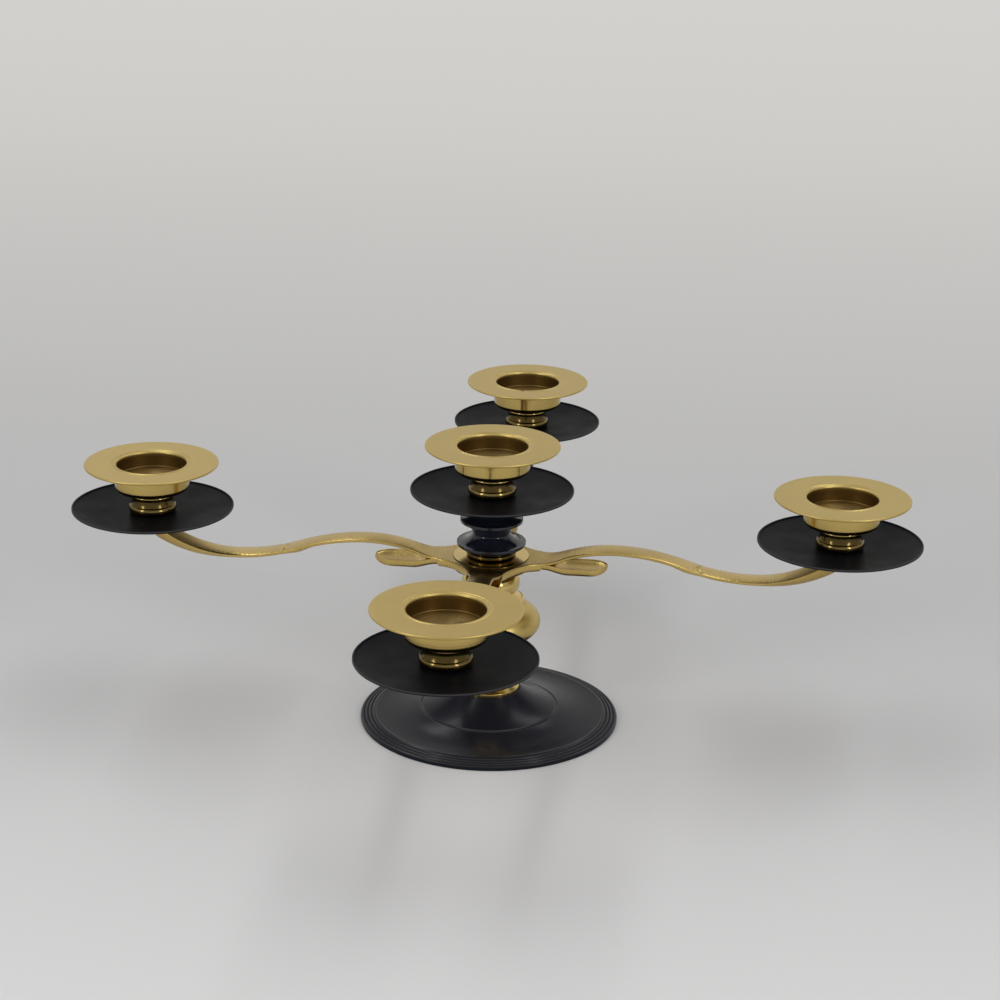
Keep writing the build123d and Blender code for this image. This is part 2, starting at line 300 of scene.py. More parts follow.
def arc(start: Pair, end: Pair, sag: float, count: int = 14) -> Grid:
    """Circular arc: points at even angles, swelling by sag to the left of the way from start to end.

    Args:
        start: first point.
        end: last point.
        sag: height of the arc over its chord, negative for the right side.
        count: number of points.

    Returns:
        Points as an array of count rows.
    """
    a, b = np.array(start, float), np.array(end, float)
    chord = np.linalg.norm(b - a)
    along = (b - a) / chord
    left = np.array([-along[1], along[0]])
    radius = (chord ** 2 / 4 + sag ** 2) / (2 * abs(sag))
    half = np.arcsin(min(1.0, chord / (2 * radius)))
    side = np.sign(sag)
    centre = (a + b) / 2 + left * (sag - side * radius)
    turn = np.linspace(-half, half, count)[:, None]
    return centre + radius * (np.sin(turn) * along + side * np.cos(turn) * left)


def level_arc(start: Pair, end: Pair, count: int = 18) -> Grid:
    """Arc that leaves start level and ends at end: its sag follows from the chord's slope.

    Args:
        start: first point, where the arc is level.
        end: last point.
        count: number of points.

    Returns:
        Points as an array of count rows.
    """
    run, rise = end[0] - start[0], end[1] - start[1]
    chord = np.hypot(run, rise)
    return arc(start, end, -chord / 2 * np.tan(atan(rise / run) / 2), count)


def bulge(side: float, radius: float, low: float, high: float, count: int = 22) -> Grid:
    """Half-ellipse moulding from low to high.

    Args:
        side: radius where the moulding starts and ends.
        radius: its full radius.
        low: its lower level.
        high: its upper level.
        count: number of points.

    Returns:
        Points as an array of count rows.
    """
    turn = np.linspace(-pi / 2, pi / 2, count)
    return np.column_stack([side + (radius - side) * np.cos(turn),
                            (low + high) / 2 + (high - low) / 2 * np.sin(turn)])


def corner(middle: Pair, radius: float, start: float, end: float, count: int) -> Grid:
    """Rounded corner: points of a circle at even angles.

    Args:
        middle: middle of the circle.
        radius: its radius.
        start: first angle, from the outward direction.
        end: last angle.
        count: number of points.

    Returns:
        Points as an array of count rows.
    """
    turn = np.linspace(start, end, count)
    return np.column_stack([middle[0] + radius * np.cos(turn), middle[1] + radius * np.sin(turn)])


def softened(points: Grid, reach: float, closed: bool = True) -> Grid:
    """Breaks an outline's sharp corners: each becomes a quadratic curve of five points between its two sides.

    Args:
        points: outline points.
        reach: how far from a corner the curve starts, at most 40% of the shorter side.
        closed: whether the last point joins the first. If not, both ends stay as they are.

    Returns:
        The softened outline.
    """
    before, after = points - np.roll(points, 1, 0), np.roll(points, -1, 0) - points
    size_before = np.linalg.norm(before, axis=1, keepdims=True)
    size_after = np.linalg.norm(after, axis=1, keepdims=True)
    before, after = before / size_before, after / size_after
    sharp = (before * after).sum(1) < cos(radians(14))
    cut = np.where(sharp[:, None], np.minimum(reach, 0.4 * np.minimum(size_before, size_after)), 0)
    share = np.linspace(0, 1, 5)[None, :, None]
    curve = ((1 - share) ** 2 * (points - before * cut)[:, None] + 2 * share * (1 - share) * points[:, None]
             + share ** 2 * (points + after * cut)[:, None])
    keep = sharp[:, None] | (np.arange(5) == 2)
    if not closed:
        curve[[0, -1]] = points[[0, -1], None]
        keep[[0, -1]] = np.arange(5) == 2
    return curve[keep]


def bell(distance: Grid, width: float) -> Grid:
    """Bell curve, 1 at no distance and fading within the width."""
    return np.exp(-(distance / width) ** 2)


def grid_piece(name: str, points: Grid, close_rows: bool, values: dict[str, Grid], material: Material) -> Piece:
    """Turns a grid of points into a closed mesh object: rows run along the shape, columns round it.

    Args:
        name: name of the piece.
        points: array of rows by columns by 3, in mm.
        close_rows: whether the last row joins the first. If not, each end row gets a cap to its middle.
        values: point attributes as arrays of rows by columns.
        material: the finish.

    Returns:
        The object, at the origin.
    """
    rows, columns = points.shape[:2]
    values = {label: np.broadcast_to(grid, (rows, columns)) for label, grid in values.items()}
    index = np.arange(rows * columns).reshape(rows, columns)
    ring = np.arange(columns)
    following = (ring + 1) % columns
    row, column = np.arange(rows if close_rows else rows - 1)[:, None], ring[None, :]
    next_row, next_column = (row + 1) % rows, following[None, :]
    quads = np.stack([index[row, column], index[row, next_column],
                      index[next_row, next_column], index[next_row, column]], axis=-1).reshape(-1, 4)
    flat = points.reshape(-1, 3) * MM
    faces = quads.tolist()
    extra = {}
    if not close_rows:
        ends = np.array([points[0].mean(0), points[-1].mean(0)]) * MM
        flat = joined(flat, ends)
        first, last = np.full(columns, rows * columns), np.full(columns, rows * columns + 1)
        faces += np.column_stack([first, index[0, following], index[0, ring]]).tolist()
        faces += np.column_stack([last, index[-1, ring], index[-1, following]]).tolist()
        extra = {label: np.array([grid[0].mean(), grid[-1].mean()]) for label, grid in values.items()}
    mesh = bpy.data.meshes.new(name)
    mesh.from_pydata(flat.tolist(), [], faces)
    for label, grid in values.items():
        layer = mesh.attributes.new(label, "FLOAT", "POINT")
        data = joined(grid.reshape(-1), extra.get(label, np.empty(0)))
        layer.data.foreach_set("value", data.astype(np.float32))
    mesh.polygons.foreach_set("use_smooth", np.ones(len(mesh.polygons), bool))
    mesh.set_sharp_from_angle(angle=radians(38))
    mesh.materials.append(material)
    piece = bpy.data.objects.new(name, mesh)
    bpy.context.scene.collection.objects.link(piece)
    return piece


def lathe(name: str, outline: Grid, centre: Triple, material: Material, closed: bool = True,
          columns: int = 180, **values: "Grid | float") -> Piece:
    """Turned piece: (r cos a, r sin a, z) over an outline and the full turn a.

    Args:
        name: name of the piece.
        outline: radius and height in mm, running outwards below and inwards above.
        centre: foot of the turning axis in mm.
        material: the finish.
        closed: whether the outline joins up. If not, each end gets a flat cap.
        columns: points round the turn.
        values: soot, shine or wear, each as one number or as a grid of outline points by columns.

    Returns:
        The piece.
    """
    turn = np.linspace(0, 2 * pi, columns, endpoint=False)
    radius, height = outline[:, :1], outline[:, 1:]
    points = np.stack([radius * np.cos(turn), radius * np.sin(turn), height + 0 * turn], axis=-1) + np.array(centre)
    steps = np.linalg.norm(np.diff(outline, axis=0), axis=1)
    run = joined([0], np.cumsum(steps))[:, None]
    grids = {"run": run, **{label: np.asarray(value, float) for label, value in values.items()}}
    return grid_piece(name, points, closed, grids, material)


def seat(piece: Piece, body: str, slot: str, *nodes: str) -> None:
    """Puts a piece on its body, hides the CAD nodes it stands for, and reports it.

    Args:
        piece: the new piece.
        body: body that it rides on.
        slot: record slot of its finish; not used.
        nodes: CAD nodes that it replaces.
    """
    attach(piece, body)
    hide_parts(*nodes)
    LOG.info("%s on %s", piece.name, body)


@dataclass
class Light:
    """One candle light: cup, stem and pan on a vertical axis. Heights count from each piece's own foot."""

    side: str
    centre: Triple
    body: str
    pan_body: str
    pin_radius: float
    stain: float = 0.0
    pan_radius: float = 46.6
    pan_wall: float = 1.2
    pan_rim: float = 4.7
    pan_floor: float = 17.0
    pan_lip: float = 0.7
    pan_edge: float = 1.2
    stem_rise: float = 1.5
    stem_height: float = 15.2
    foot_radius: float = 13.9
    foot_height: float = 5.2
    neck_radius: float = 11.7
    bead_radius: float = 13.0
    bead_low: float = 9.2
    bead_high: float = 11.6
    spigot_radius: float = 6.0
    spigot_top: float = 17.6
    cup_radius: float = 21.4
    cup_corner: float = 3.0
    bore_radius: float = 20.0
    lip_radius: float = 1.2
    flange_radius: float = 38.5
    flange_root: float = 11.2
    flange_edge: float = 12.8
    cup_height: float = 14.0
    cup_floor: float = 5.0
    bowl_drop: float = 2.0
    stain_turn: float = 267.0

    def at(self, rise: float) -> Triple:
        """Foot of the axis, raised."""
        return (self.centre[0], self.centre[1], self.centre[2] + rise)

    def pan(self, paint: Material) -> None:
        """Shallow dish: level middle, curved skirt and a thin turned-up lip, with a painted highlight along its edge.

        Args:
            paint: its black finish.
        """
        hole, inner = self.pin_radius + 0.2, self.pan_radius - self.pan_wall
        under = level_arc((self.pan_floor, 0), (self.pan_radius, self.pan_rim - self.pan_edge))
        top = level_arc((self.pan_floor, self.pan_wall), (inner, self.pan_rim - self.pan_lip))
        outline = joined([(hole, 0)], under, [(self.pan_radius, self.pan_rim), (inner, self.pan_rim)],
                         top[::-1], [(hole, self.pan_wall)])
        outline = softened(outline, 0.3)
        # Painted highlight: a pale line along the rim's edge.
        wear = 0.16 * (np.linalg.norm(outline - (self.pan_radius, self.pan_rim), axis=1, keepdims=True) < 0.5)
        piece = lathe(f"drip_pan_{self.side}", outline, self.centre, paint, wear=wear)
        seat(piece, self.pan_body, "black_paint", f"pan_{self.side}")

    def stem(self, brass: Material) -> None:
        """Turned stem: rounded foot and neck darkened by painted shade, a bead kept bright under the cup and the
        spigot that enters it.

        Args:
            brass: its polished finish.
        """
        bore, top = self.pin_radius + 0.08, self.stem_height - self.bowl_drop
        neck, low, high = self.neck_radius, self.bead_low, self.bead_high
        foot = bulge(neck + 0.3, self.foot_radius, 0, self.foot_height)[:19]
        waist = arc(tuple(foot[-1]), (neck, low), 0.3, 20)
        outline = joined([(bore, 9), (bore, 0)], foot, waist[1:-1], bulge(neck, self.bead_radius, low, high),
                         [(neck, top), (self.spigot_radius, top), (self.spigot_radius, self.spigot_top)])
        # Painted shade: foot and neck darkened, bead kept bright.
        soot = np.interp(outline[:, 1:], [0, 1.5, 4, 5.5, low, low + 0.6, high - 0.6, high],
                         [0.9, 0.5, 0.7, 1, 1, 0.1, 0.1, 1])
        piece = lathe(f"turned_stem_{self.side}", outline, self.at(self.stem_rise), brass, False, soot=soot)
        seat(piece, self.body, "polished_brass", f"stem_{self.side}")

    def cup_outline(self) -> tuple[Grid, Grid]:
        """Cup profile: bowl, thin flange with a fine groove near its rolled lip, bore and ringed floor.

        The rings on the floor are cosines of the radius, 1.5 mm apart.

        Returns:
            The profile, and a column that is true inwards of the lip's first three points.
        """
        wall, bore, flange, top = self.cup_radius, self.bore_radius, self.flange_radius, self.cup_height
        round_off, foot = self.cup_corner, -self.bowl_drop
        bowl = corner((wall - round_off, foot + round_off), round_off, -pi / 2, 0, 14)
        rim = bulge(flange - 0.5, flange, self.flange_edge, top, 12)
        flat = np.linspace(flange - 1.5, bore + 1.3, 60)
        face = np.column_stack([flat, top - 0.3 * bell(flat - bore - 2.5, 0.4)])
        lip = corner((bore + self.lip_radius, top - self.lip_radius), self.lip_radius, pi / 2, pi, 10)
        inner_wall = np.column_stack([np.full(8, bore), np.linspace(top - 2, self.cup_floor + 0.3, 8)])
        inward = np.linspace(bore - 0.3, 0.5, 64)
        floor = np.column_stack([inward, self.cup_floor + 0.12 * np.cos(inward * 4.2)])
        socket = self.spigot_radius + 0.05
        outline = joined([(socket, 2.45), (socket, foot)], bowl, [(wall, self.flange_root)], rim, face, lip,
                         inner_wall, floor)
        inner_rows = len(lip) + len(inner_wall) + len(floor) - 3
        return outline, np.arange(len(outline))[:, None] >= len(outline) - inner_rows

    def cup(self, brass: Material) -> None:
        """Cup: upright bowl, wide flange and a blind bore, darkened below its lip by painted shade.

        The floor has specks, products of bent sine waves. A stain may run down the front of the bowl, and painted
        shade darkens the bowl under the flange.

        Args:
            brass: its brushed finish.
        """
        wall, bore, top = self.cup_radius, self.bore_radius, self.cup_height
        outline, inside = self.cup_outline()
        radius, level = outline[:, :1], outline[:, 1:]
        turn = np.linspace(0, 2 * pi, 180, endpoint=False)[None, :]
        deep = np.clip((top - 0.9 - level) / 1.5, 0, 1) * inside
        # Painted shade in the bore: darker below the lip, the wall more than the floor.
        tint = np.interp(radius, [0, bore - 5, bore - 1, bore - 0.2], [0.72, 0.77, 0.77, 0.75])
        x, y = radius * np.cos(turn), radius * np.sin(turn)
        speck = np.sin(4.3 * x + 2.6 * np.sin(1.9 * y)) * np.sin(4.7 * y + 2.4 * np.sin(2.3 * x))
        # outside marks the bowl under the flange: painted shade in its colour, and lower roughness there.
        outside = np.clip((wall + 3 - radius) / 2, 0, 1) * np.clip((12.5 - level) / 2, 0, 1) * ~inside
        drip = bell(turn - radians(self.stain_turn), 0.04) * (np.abs(radius - wall) < 1)
        specks = 0.06 * speck * deep * (radius < bore - 0.5)
        soot = np.clip(tint * deep + 0.2 * outside + specks + self.stain * drip, 0, 1)
        piece = lathe(f"candle_cup_{self.side}", outline, self.at(self.stem_rise + self.stem_height), brass, False,
                      soot=soot, shine=outside)
        seat(piece, self.body, "cup_brass", f"cup_{self.side}")


@dataclass
class Stand:
    """Base dish, column, hub, collar and spool on the middle axis."""

    base_radius: float = 75.0
    base_wall: float = 2.6
    band_inner: float = 66.6
    band_edge: float = 2.32
    band_rise: float = 2.2
    slope_low: float = 4.4
    slope_inner: float = 18.4
    slope_sag: float = 4.4
    groove_spots: Triple = (72.9, 70.8, 68.7)
    groove_depth: float = 0.72
    rod_bore: float = 4.2
    waist_radius: float = 9.0
    waist_level: float = 34.5
    flare_radius: float = 17.4
    flare_level: float = 20.8
    knop_radius: float = 29.0
    cap_top: float = 94.0
    hub_bore: float = 4.08
    pad_radius: float = 22.0
    star_reach: float = 30.0
    star_flank: float = 9.0
    star_hollow: float = 29.6
    star_wall: float = 4.8
    star_round: float = 2.0
    spool_lower: float = 19.8
    spool_neck: float = 10.6
    spool_upper: float = 18.0
    spool_throat: float = 11.0
    spool_top: float = 15.0
    levels: dict[str, float] = field(default_factory=lambda: {
        "foot": 19.0, "knop": 50.0, "cap": 72.0, "hub": 94.3, "pad": 101.3, "collar": 101.6, "spool": 104.6,
        "pan": 136.6})

    def base(self, paint: Material) -> None:
        """Dish: upright rim, band with bell-shaped grooves and hollow slope with one groove up to the column, with
        painted highlights along the ridges.

        Args:
            paint: its black finish.
        """
        edge, inner, top = self.base_radius, self.band_inner, self.levels["foot"]
        inward = np.linspace(edge - 0.4, inner, 96)
        dips = bell(inward[:, None] - np.array(self.groove_spots), 0.36).sum(1)
        level = self.band_edge + self.band_rise * (edge - inward) / (edge - inner) - self.groove_depth * dips
        slope = arc((inner, self.slope_low), (self.slope_inner, top), self.slope_sag, 220)[2:]
        groove_row = len(slope) * 53 // 100
        slope[:, 1] -= 0.6 * bell(np.linalg.norm(slope - slope[groove_row], axis=1), 0.5)
        under = arc((self.slope_inner, top - self.base_wall), (inner, self.slope_low - self.base_wall),
                    -self.slope_sag, 30)
        outline = joined([(edge, 0), (edge, 1.9)], np.column_stack([inward, level]), slope,
                         [(self.rod_bore, top), (self.rod_bore, top - self.base_wall)], under, [(71.6, 0)])
        outline = softened(outline, 0.25)
        # Painted highlights: pale lines on the band's ridges and a pale ring beside the slope's groove.
        lines = np.array([edge, *self.groove_spots, inner]) - 0.5
        wear = 0.1 * bell(outline[:, :1] - lines, 0.35).sum(1, keepdims=True) * (outline[:, 1:] > 1.8)
        from_groove = np.linalg.norm(outline - slope[groove_row], axis=1, keepdims=True)
        wear += 0.14 * (np.abs(from_groove - 0.7) < 0.4)
        seat(lathe("base_dish", outline, AXIS_FOOT, paint, columns=200, wear=wear), "stand", "black_paint", "base")

    def column(self, polished: Material, brushed: Material) -> None:
        """Foot with flared flange, flattened knop, ring with boss under the hub, and collar above it, darkened by
        painted shade.

        Args:
            polished: finish of foot, cap and collar.
            brushed: finish of the knop.
        """
        bore, low = self.rod_bore, self.levels
        waist, edge = (-self.waist_level, self.waist_radius), (-self.flare_level, self.flare_radius)
        flare = level_arc(waist, edge)[::-1] * (-1, 1)
        rise = level_arc((self.waist_level, self.waist_radius), (low["knop"], 12.0))
        foot = joined([(bore, low["foot"]), (self.flare_radius, low["foot"])], flare[:, ::-1],
                      rise[1:, ::-1], [(bore, low["knop"])])
        knop = joined([(bore, low["knop"])], bulge(12, self.knop_radius, low["knop"], low["cap"], 60),
                      [(bore, low["cap"])])
        cap = joined([(bore, low["cap"])], bulge(17.8, 19.8, low["cap"], low["cap"] + 4),
                     bulge(13.5, 16.8, 79.5, 90.5, 40), [(14.5, self.cap_top), (bore, self.cap_top)])
        for node, outline in {"foot": foot, "knop": knop, "cap": cap}.items():
            brass = brushed if node == "knop" else polished
            piece = lathe(f"turned_{node}", softened(outline, 0.2), AXIS_FOOT, brass)
            seat(piece, "stand", "polished_brass", f"column_{node}")
        ring = joined([(bore, low["collar"])], bulge(12.8, 14.3, low["collar"], low["spool"]), [(bore, low["spool"])])
        # Painted shade: the whole collar is darkened as if under the spool.
        piece = lathe("pad_collar", softened(ring, 0.15), AXIS_FOOT, polished, soot=1.0)
        seat(piece, "stand", "polished_brass", "collar")

    def hub(self, polished: Material, cast: Material) -> None:
        """Flat round pad with its side darkened by painted shade, in the middle of the cast star that joins the arms.

        Args:
            polished: finish of the pad.
            cast: finish of the star.
        """
        bore, edge, low, top = self.hub_bore, self.pad_radius, self.levels["hub"], self.levels["pad"]
        inward = np.linspace(edge - 0.4, bore, 12)
        outline = joined([(bore, low), (edge, low), (edge, top)],
                         np.column_stack([inward, np.full(len(inward), top)]))
        outline = softened(outline, 0.15)
        # Painted shade on the pad's side.
        soot = (outline[:, :1] > edge - 0.2).astype(float)
        seat(lathe("arm_hub", outline, AXIS_FOOT, polished, soot=soot), "branches", "polished_brass", "hub")
        self.star(cast)

    def star_edge(self, turn: Grid) -> Grid:
        """Radius of the star's edge: the nearer of the arm's end plane and a circle cut out between two arms.

        Args:
            turn: angles round the column.

        Returns:
            The edge radius at each angle.
        """
        folded = np.abs((turn + pi / 4) % (pi / 2) - pi / 4)
        end_plane = self.star_reach / np.cos(folded)
        middle = self.star_flank + self.star_hollow
        aim = middle * (np.cos(folded) + np.sin(folded))
        inside = np.clip(aim ** 2 - 2 * middle ** 2 + self.star_hollow ** 2, 0, None)
        hollow = np.where(inside > 0, aim - np.sqrt(inside), np.inf)
        return np.minimum(end_plane, hollow)

    def star(self, cast: Material) -> None:
        """Star slab: rows go out below, round the edge and back in above, with bark lines on the top.

        Args:
            cast: its finish.
        """
        turn = np.linspace(0, 2 * pi, 720, endpoint=False)[None, :]
        quarter, inward = np.linspace(-pi / 2, 0, 8), np.linspace(0, 1, 40) ** 0.8
        size, wall = self.star_round, self.star_wall
        setback = joined([0], size - size * np.cos(quarter), [0, 0.2, 0.55], np.full(40, 0.9))[:, None]
        drop = joined([wall], wall - size - size * np.sin(quarter), [0.7, 0.25, 0.05], np.zeros(40))[:, None]
        share = joined([1], np.zeros(11), inward)[:, None]
        upper = joined(np.zeros(9), [0.2, 0.5, 0.8], np.ones(40))[:, None]
        radius = (self.star_edge(turn) - setback) * (1 - share) + (self.pad_radius - 1.0) * share
        x, y = radius * np.cos(turn), radius * np.sin(turn)
        facing_x = np.abs(x) >= np.abs(y)
        along, across = np.where(facing_x, np.abs(x), np.abs(y)), np.where(facing_x, y, x)
        lines = BranchArm.hatch(along, across)
        height = self.levels["pad"] - 0.4 - drop + 0.06 * upper * (lines - 0.4)
        soot = upper * np.clip(0.15 - 0.25 * lines, 0, 0.6)
        piece = grid_piece("cast_star", np.stack([x, y, height], axis=-1), True, {"run": along, "soot": soot}, cast)
        seat(piece, "branches", "arm_brass", "hub")

    def spool(self, gloss: Material) -> None:
        """Double-cone spool between collar and centre pan: four hollow slopes over a level-rooted foot.

        Args:
            gloss: its black finish.
        """
        bore, low, top = self.rod_bore, self.levels["spool"], self.levels["pan"]
        neck, throat = (self.spool_neck, low + 10.4), (self.spool_throat, low + 25)
        outline = joined(
            [(bore, low)], level_arc((10.5, low), (self.spool_lower, low + 3.6)),
            arc((self.spool_lower, low + 5.2), neck, 1.6, 30), arc(neck, (self.spool_upper, low + 17.4), 1.3, 30)[1:],
            arc((self.spool_upper, low + 19), throat, 1.4, 30), arc(throat, (self.spool_top, top), 1)[1:],
            [(bore, top)])
        seat(lathe("black_spool", softened(outline, 0.3), AXIS_FOOT, gloss), "stand", "gloss_black", "spool")


@dataclass
class BranchArm:
    """Cast arm: hatched strap in an S, knuckle, thick upturned end, leaf and post. Rises count from the pad."""

    side: str
    turn: float
    reach: float = 197.5
    pad: float = 101.3
    seat_rise: float = 14.5
    root: float = 30.0
    root_rise: float = -0.4
    root_half: float = 10.277
    half: float = 7.0
    crest: Pair = (71.0, 7.1)
    dip: Pair = (150.0, -6.3)
    crest_bend: float = 10.0
    dip_bend: float = 40.0
    knuckle: float = 112.0
    nick: float = 118.0
    edge_depth: float = 1.5
    stations: int = 620
    leaf_length: float = 37.0
    leaf_half: float = 10.2
    leaf_tip: float = 0.72
    post_radius: float = 7.6
    stud_bore: float = 3.05

    @property
    def end(self) -> Triple:
        """Top of the post in the frame, in mm."""
        angle = radians(self.turn)
        return (self.reach * cos(angle), self.reach * sin(angle), self.pad + self.seat_rise)

    def line(self, count: int) -> tuple[Grid, Grid]:
        """Top line: a level start inside the star, tangent arcs over crest and low point, one arc up to the post.

        Args:
            count: number of stations, evenly spaced along the line.

        Returns:
            Points and unit directions as rows of reach and rise.
        """
        root = (self.root, self.root_rise)
        runs = [np.array([(self.root - 4.0, self.root_rise), root])]
        for start, end, bend in ((root, self.crest, self.crest_bend), (self.crest, self.dip, self.dip_bend)):
            steep = (end[1] - start[1]) / (end[0] - start[0])
            meet = (start[0] + bend, start[1] + bend * steep)
            back = level_arc((-end[0], end[1]), (-meet[0], meet[1]), 60)[::-1] * (-1, 1)
            runs += [level_arc(start, meet, 60), back]
        runs.append(level_arc(self.dip, (self.reach, self.seat_rise - 2.0), 90))
        raw = joined(runs[0], *(run[1:] for run in runs[1:]))
        length = joined([0], np.cumsum(np.linalg.norm(np.diff(raw, axis=0), axis=1)))
        even = np.linspace(0, length[-1], count)
        points = np.column_stack([np.interp(even, length, raw[:, k]) for k in (0, 1)])
        heading = np.gradient(points, axis=0)
        return points, heading / np.linalg.norm(heading, axis=1, keepdims=True)

    def placed(self, reach: Grid, across: Grid, rise: Grid) -> Grid:
        """Turns the arm's own measures into places in the frame, in mm.

        Args:
            reach: distance from the column.
            across: distance to the left of the arm's middle.
            rise: height over the pad.

        Returns:
            Places as rows by columns by 3.
        """
        angle = radians(self.turn)
        return np.stack([reach * cos(angle) - across * sin(angle), reach * sin(angle) + across * cos(angle),
                         rise + self.pad + 0 * reach], axis=-1)

    @staticmethod
    def hatch(along: Grid, across: Grid) -> Grid:
        """Bark lines: two uneven sine waves across the strap, bent and faded by slow waves so that no two match.

        Args:
            along: distance along the strap.
            across: distance from its middle.

        Returns:
            Height of the lines from -1 to 1.
        """
        drift = 0.8 * np.sin(across * 0.7 + along * 0.33) + 0.5 * np.sin(across * 1.3 - along * 0.71)
        fade = 0.7 + 0.3 * np.sin(along * 0.9 + across * 0.6 + 2.0 * drift)
        lines = 0.6 * np.sin(along * 4.3 + across * 0.9 + 2.4 * drift) + 0.4 * np.sin(along * 7.1 - 3.1 * drift)
        return fade * lines

    @staticmethod
    def hammered(along: Grid, across: Grid) -> Grid:
        """Planished dents: two products of bent sine waves that cross at uneven spacings of 2 to 4 mm.

        Args:
            along: distance along the strap.
            across: distance from its middle.

        Returns:
            Height of the dents from -1 to 1.
        """
        bend = np.sin(along * 0.43 + 1.7 * np.sin(across * 0.5))
        wide = np.sin(along * 1.5 + 1.9 * bend) * np.sin(across * 1.3 + 1.4 * bend + 0.5)
        fine = np.sin(along * 2.9 - 2.3 * bend + across) * np.sin(across * 2.3 - along * 0.9)
        return 0.6 * wide + 0.4 * fine

    @staticmethod
    def section() -> tuple[Grid, Grid, Grid, Grid]:
        """Strap section as shares: crowned top from one side to the other, thin edge, round belly and back.

        Returns:
            Place across from -1 to 1, top share, edge depth share and belly share, each as one row.
        """
        level = np.linspace(0.95, -0.95, 27)
        side = np.array([0.985, 1.0, 1.0, 0.985])
        deep = np.array([0.08, 0.25, 0.75, 0.95])
        below = np.linspace(-0.95, 0.95, 21)
        across = joined(level, -side, below, side[::-1])
        top = joined(1 - level ** 2, np.zeros(29))
        edge = joined(np.zeros(27), deep, np.ones(21), deep[::-1])
        belly = joined(np.zeros(31), 1 - below ** 2, np.zeros(4))
        return across[None, :], top[None, :], edge[None, :], belly[None, :]

    def strap(self, brass: Material) -> None:
        """Strap: the section carried along the top line, hatched inside the knuckle and planished outside it, its
        belly in painted shade.

        Args:
            brass: its cast finish.
        """
        points, heading = self.line(self.stations)
        reach = points[:, :1]
        swell = 1.3 * (1 + np.cos(pi * np.clip(np.abs(reach - self.knuckle) / 11.0, 0, 1))) / 2
        flare = np.clip(1 - (reach - self.root) / 18.0, 0, 1) ** 2
        half = self.half + flare * (self.root_half - self.half) + swell / 2
        belly = 1.4 + flare + swell + np.interp(reach, [self.dip[0], 190], [0, 5.1])
        side, top, edge, under = self.section()
        across = half * side
        steps = np.linalg.norm(np.diff(points, axis=0), axis=1)
        along = reach[0] + np.cumsum(joined([0], steps))[:, None]
        inner = np.clip((self.knuckle - reach) / 8.0, 0, 1)
        outer = 1 - inner
        lines, dents = self.hatch(along, across), self.hammered(along, across)
        face = np.clip(top * 6, 0, 1)
        struck = 0.02 + 0.05 * bell(reach - 148.0, 13.0)
        skin = face * (0.03 * inner * lines + struck * outer * dents)
        skin = skin + 0.02 * outer * dents * np.clip(under * 3, 0, 1)
        nick = bell(reach - self.nick - 0.45 * np.abs(across), 0.8) * np.clip(1.3 - np.abs(across) / 6, 0, 1)
        crown = 0.5 * np.clip((reach - self.root) / 14.0, 0, 1) + 0.05
        rise = crown * top - self.edge_depth * edge - belly * under + skin - 0.9 * nick * face
        place = self.placed(reach - rise * heading[:, 1:], across, points[:, 1:] + rise * heading[:, :1])
        hollow = np.clip(0.14 - 0.2 * lines, 0, 0.5) * inner + np.clip(-0.4 * dents - 0.15, 0, 0.3) * outer
        shine = 0.5 * bell(reach - 146.0, 14.0) - 1.2 * np.clip((reach - 160.0) / 20.0, 0, 1)
        # Darkening: patina in the hatch and dent hollows on the face, and painted shade on the belly.
        grids = {"run": along, "soot": face * hollow + 0.35 * under, "shine": shine}
        piece = grid_piece(f"branch_{self.side}", place, False, grids, brass)
        seat(piece, "branches", "arm_brass", f"arm_{self.side}")

    def leaf(self, brass: Material) -> None:
        """Leaf: crescent sections with a thick round rim, hollow above and full below, up to a round tip, its
        underside in light painted shade.

        Args:
            brass: its cast finish.
        """
        tip = self.leaf_tip
        rounding = np.sin(np.linspace(0, pi / 2, 50))[1:]
        share = joined(np.linspace(0, tip, 70), tip + (1 - tip) * rounding)[:, None]
        swell = np.sqrt(1 - (np.clip(share - tip, 0, None) / 0.29) ** 2)
        opening = (1 - np.cos(pi * np.clip(share / 0.4, 0, 1))) / 2
        half = swell * (self.leaf_half - 0.9 * opening)
        edge = -1.0 - 2.3 * opening
        hollow = swell * (0.2 + 1.8 * opening)
        thick = swell * (4.0 - 1.0 * opening)
        turn = np.linspace(0, 2 * pi, 96, endpoint=False)[None, :]
        upper, bow = np.sin(turn) >= 0, np.abs(np.sin(turn))
        level = np.sign(np.cos(turn)) * np.abs(np.cos(turn)) ** np.where(upper, 1.0, 0.5)
        across = half * np.where(upper, 0.93 + 0.07 * (1 - bow) ** 4, 1.0) * level
        along = self.root + self.leaf_length * share + 0 * across
        lines = self.hatch(along, across)
        bead = 0.3 * swell * opening * bell(bow - 0.2, 0.16)
        rise = np.where(upper, bead + 0.03 * bow * lines - hollow * bow ** 1.3, -(hollow + thick) * bow ** 0.5)
        # Darkening: patina in the bark lines above, and light painted shade on the underside.
        soot = np.where(upper, bow * np.clip(0.14 - 0.2 * lines, 0, 0.5), 0.1 * bow)
        place = self.placed(along, across, edge + rise)
        piece = grid_piece(f"leaf_{self.side}", place, False, {"run": along, "soot": soot}, brass)
        seat(piece, "branches", "arm_brass", f"arm_{self.side}")

    def post(self, brass: Material) -> None:
        """Post under the pan: round wall with a rounded foot, bored for the stud.

        Args:
            brass: its cast finish.
        """
        x, y, top = self.end
        foot = corner((self.post_radius - 4, top - 5), 4, -pi / 2, 0, 12)
        outline = joined(foot, [(self.post_radius, top), (self.stud_bore, top), (self.stud_bore, top - 6.5)])
        piece = lathe(f"post_{self.side}", softened(outline, 0.2, False), (x, y, 0), brass, False)
        seat(piece, "branches", "arm_brass", f"arm_{self.side}")


